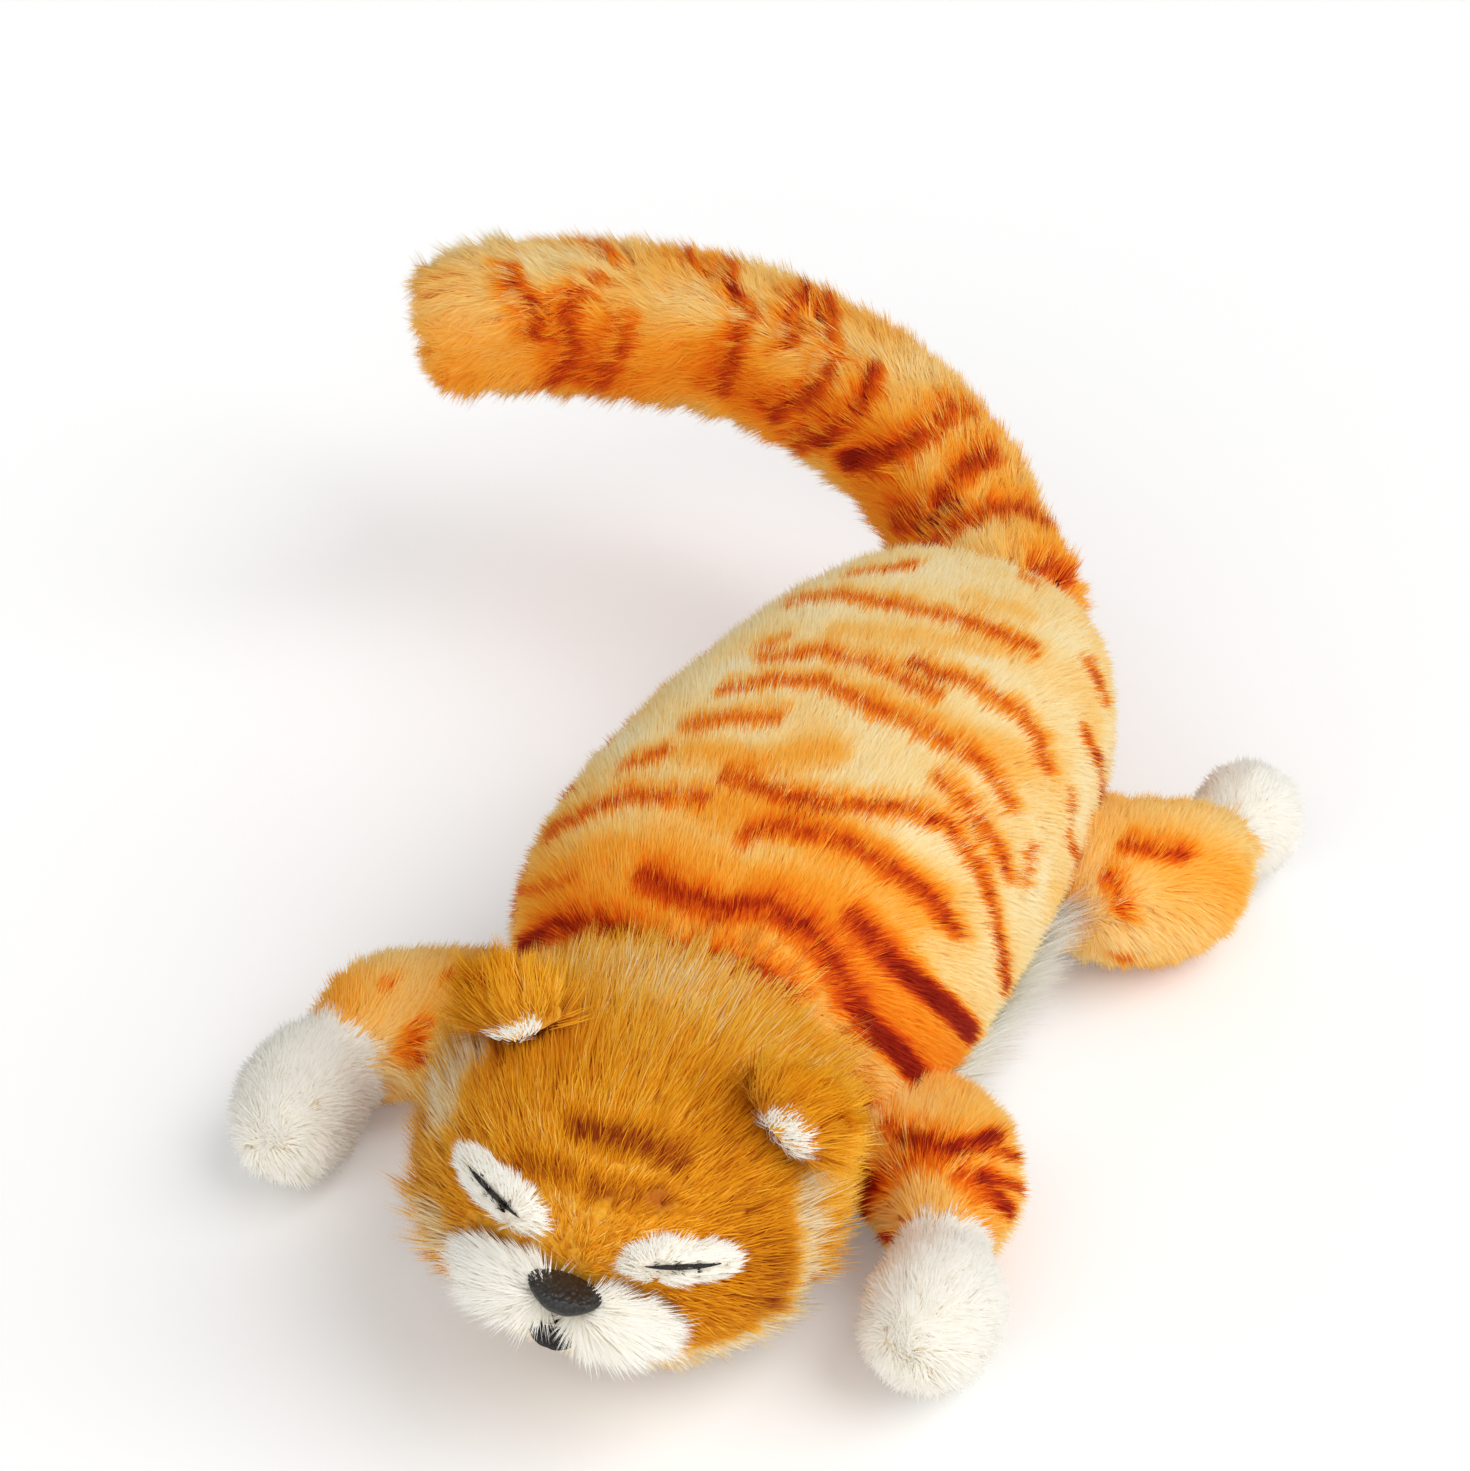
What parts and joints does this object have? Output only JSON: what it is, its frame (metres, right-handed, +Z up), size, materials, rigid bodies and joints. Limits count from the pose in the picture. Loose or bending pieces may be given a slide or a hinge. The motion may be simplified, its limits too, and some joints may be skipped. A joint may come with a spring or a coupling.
{
  "type": "laughing plush cat",
  "caption": "Striped plush cat lying on its belly with closed eyes and a stiff raised tail; a geared motor in its padded body turns the tail to roll it over.",
  "frame": {"origin": "on the flat of the belly that lies on the floor, under the chest, in the middle of the cat", "axes": "+Z up, -Y the way the cat faces, +X its left side"},
  "size_m": [0.3314, 0.3784, 0.1223],
  "materials": {
    "striped_plush": "matte pile",
    "amber_plush": "long matte pile",
    "white_plush": "matte pile",
    "wadding": "matte fibre",
    "white_felt": "matte",
    "black_felt": "matte",
    "tape": "matte",
    "housing_plastic": "matte",
    "gear_plastic": "satin",
    "steel": "satin",
    "brass": "satin",
    "board": "matte",
    "black_plastic": "matte",
    "cell_wrap": "gloss"
  },
  "bodies": {
    "torso": {"torso_plush": "striped_plush", "belly_panel": "white_plush", "loop_tape": "tape", "torso_padding": "wadding", "housing_upper": "housing_plastic", "housing_lower": "housing_plastic", "housing_screw_1": "steel", "housing_screw_2": "steel", "housing_screw_3": "steel", "housing_screw_4": "steel", "battery_door": "housing_plastic", "battery_door_screw": "steel", "battery_1": "cell_wrap", "battery_2": "cell_wrap", "battery_3": "cell_wrap", "battery_contact_left": "steel", "battery_contact_right": "steel", "gear_plate": "housing_plastic", "first_axle": "steel", "second_axle": "steel", "motor": "steel", "tail_bush": "brass", "speaker": "black_plastic", "circuit_board": "board", "push_switch": "black_plastic", "power_switch": "steel"},
    "belly_flap": {"belly_flap": "white_plush", "hook_tape": "tape"},
    "head": {"head_plush": "amber_plush", "head_filling": "wadding", "ear_left": "amber_plush", "ear_right": "amber_plush", "ear_lining_left": "white_plush", "ear_lining_right": "white_plush", "muzzle_left": "white_plush", "muzzle_right": "white_plush", "nose": "black_felt", "mouth": "black_felt", "eye_patch_left": "white_felt", "eye_patch_right": "white_felt", "eyelid_left": "black_felt", "eyelid_right": "black_felt"},
    "front_left": {"front_left_leg": "striped_plush", "front_left_paw": "white_plush"},
    "front_right": {"front_right_leg": "striped_plush", "front_right_paw": "white_plush"},
    "hind_left": {"hind_left_leg": "striped_plush", "hind_left_paw": "white_plush"},
    "hind_right": {"hind_right_leg": "striped_plush", "hind_right_paw": "white_plush"},
    "tail": {"tail_plush": "striped_plush", "tail_hub": "black_plastic", "tail_core": "black_plastic", "tail_shaft": "steel", "output_gear": "gear_plastic"},
    "second_gear": {"second_gear": "gear_plastic"},
    "first_gear": {"first_gear": "gear_plastic"},
    "motor_gear": {"motor_pinion": "brass"},
    "pat_button": {"pat_button": "black_plastic"},
    "switch_slider": {"switch_slider": "black_plastic"}
  },
  "joints": [
    {"name": "tail_turn", "type": "hinge", "parent": "torso", "child": "tail", "pos_m": [0, 0.126, 0.063], "axis": [0, 1, 0], "continuous": true},
    {"name": "second_gear_turn", "type": "hinge", "parent": "torso", "child": "second_gear", "pos_m": [-0.01245, 0.07, 0.05428], "axis": [0, 1, 0], "continuous": true},
    {"name": "first_gear_turn", "type": "hinge", "parent": "torso", "child": "first_gear", "pos_m": [0, 0.07, 0.04556], "axis": [0, 1, 0], "continuous": true},
    {"name": "motor_turn", "type": "hinge", "parent": "torso", "child": "motor_gear", "pos_m": [0.01428, 0.07, 0.05076], "axis": [0, 1, 0], "continuous": true},
    {"name": "head_nod", "type": "hinge", "parent": "torso", "child": "head", "pos_m": [0, -0.08, 0.092], "axis": [-1, 0, 0], "range_deg": [0, 12]},
    {"name": "front_left_lift", "type": "hinge", "parent": "torso", "child": "front_left", "pos_m": [0.062, -0.05, 0.052], "axis": [0, -1, 0], "range_deg": [0, 35]},
    {"name": "front_right_lift", "type": "hinge", "parent": "torso", "child": "front_right", "pos_m": [-0.062, -0.05, 0.052], "axis": [0, 1, 0], "range_deg": [0, 35]},
    {"name": "hind_left_lift", "type": "hinge", "parent": "torso", "child": "hind_left", "pos_m": [0.062, 0.06, 0.052], "axis": [0, -1, 0], "range_deg": [0, 35]},
    {"name": "hind_right_lift", "type": "hinge", "parent": "torso", "child": "hind_right", "pos_m": [-0.062, 0.06, 0.052], "axis": [0, 1, 0], "range_deg": [0, 35]},
    {"name": "flap_open", "type": "hinge", "parent": "torso", "child": "belly_flap", "pos_m": [0, 0.0164, 0], "axis": [-1, 0, 0], "range_deg": [0, 100]},
    {"name": "button_press", "type": "slide", "parent": "torso", "child": "pat_button", "axis": [0, 0, -1], "range_m": [0, 0.002], "stiffness_N_per_m": 600, "springref_m": -0.001},
    {"name": "switch_slide", "type": "slide", "parent": "torso", "child": "switch_slider", "axis": [1, 0, 0], "range_m": [0, 0.004]}
  ],
  "couplings": [
    {"joint": "second_gear_turn", "follows": "tail_turn", "ratio": -3.75},
    {"joint": "first_gear_turn", "follows": "tail_turn", "ratio": 14.062},
    {"joint": "motor_turn", "follows": "tail_turn", "ratio": -52.734}
  ]
}
